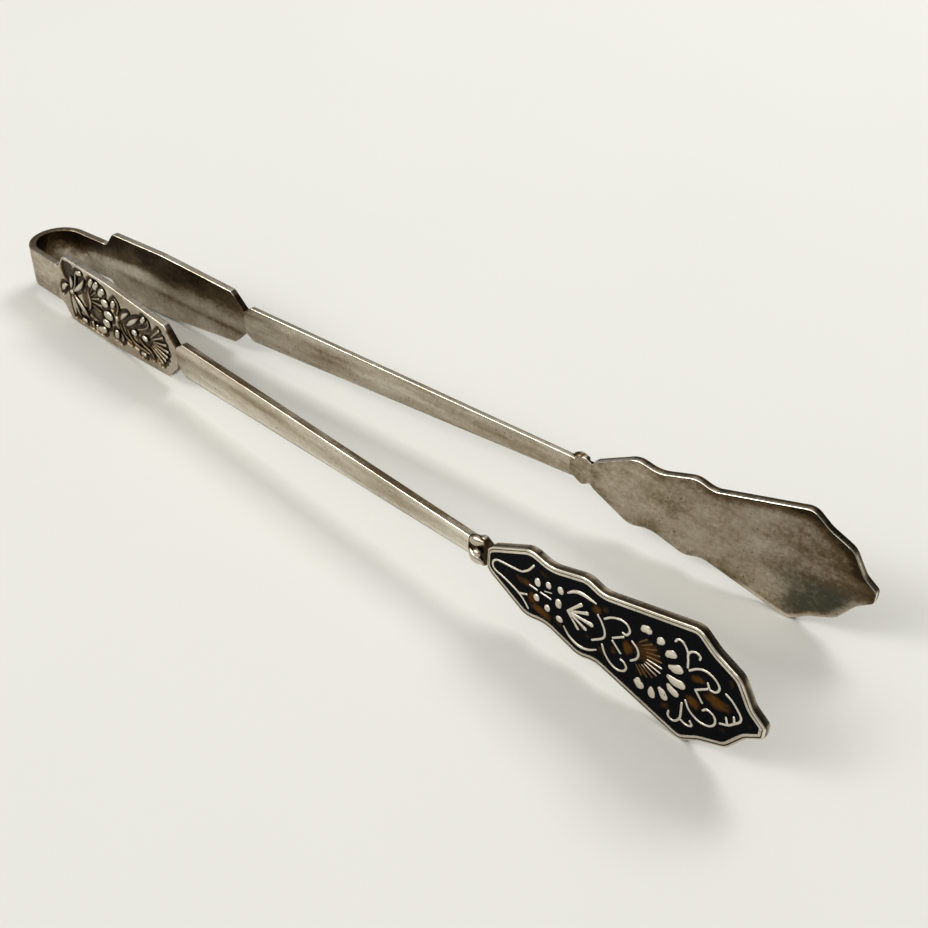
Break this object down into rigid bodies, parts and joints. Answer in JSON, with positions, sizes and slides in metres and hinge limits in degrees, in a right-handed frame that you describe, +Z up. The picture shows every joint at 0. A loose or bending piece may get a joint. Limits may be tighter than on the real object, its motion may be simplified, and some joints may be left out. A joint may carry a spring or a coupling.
{
  "type": "spring-loaded kitchen tongs",
  "caption": "Slim spring tongs of bent silver strip with relief grip panels, tapered shanks and broad enamelled blades for picking up sugar lumps or ice.",
  "frame": {"origin": "centre of the bounding box in plan, on the surface that the tongs lie on", "axes": "+X from the bow to the blade tips, +Y from the front arm to the rear arm, +Z up from the table, along the width of the arms"},
  "size_m": [0.15, 0.0296, 0.0184],
  "materials": {
    "tarnished_silver": "satin",
    "relief_silver": "satin",
    "satin_silver": "satin",
    "bright_silver": "satin",
    "black_enamel": "gloss",
    "amber_enamel": "gloss"
  },
  "bodies": {
    "bow": {"spring_bow": "tarnished_silver"},
    "front_arm": {"front_grip_panel": "tarnished_silver", "front_panel_foliage": "relief_silver", "front_panel_flower": "relief_silver", "front_panel_sprigs": "relief_silver", "front_panel_shell": "relief_silver", "front_shank": "satin_silver", "front_knop": "satin_silver", "front_blade": "satin_silver", "front_black_enamel": "black_enamel", "front_amber_enamel": "amber_enamel", "front_scroll_wires": "bright_silver", "front_enamel_flower": "bright_silver", "front_seed_beads": "bright_silver"},
    "rear_arm": {"rear_grip_panel": "tarnished_silver", "rear_panel_foliage": "relief_silver", "rear_panel_flower": "relief_silver", "rear_panel_sprigs": "relief_silver", "rear_panel_shell": "relief_silver", "rear_shank": "satin_silver", "rear_knop": "satin_silver", "rear_blade": "satin_silver", "rear_black_enamel": "black_enamel", "rear_amber_enamel": "amber_enamel", "rear_scroll_wires": "bright_silver", "rear_enamel_flower": "bright_silver", "rear_seed_beads": "bright_silver"}
  },
  "joints": [
    {"name": "front_flex", "type": "hinge", "parent": "bow", "child": "front_arm", "pos_m": [-0.07008, -0.00369, 0.0058], "axis": [-0.0252, 0, 0.9997], "range_deg": [0, 5.2], "stiffness_Nm_per_rad": 1.5, "deforming": ["spring_bow"]},
    {"name": "rear_flex", "type": "hinge", "parent": "bow", "child": "rear_arm", "pos_m": [-0.07008, 0.00369, 0.0058], "axis": [0.0252, 0, -0.9997], "range_deg": [0, 5.2], "stiffness_Nm_per_rad": 1.5, "deforming": ["spring_bow"]}
  ],
  "couplings": [
    {"joint": "rear_flex", "follows": "front_flex", "ratio": 1}
  ]
}
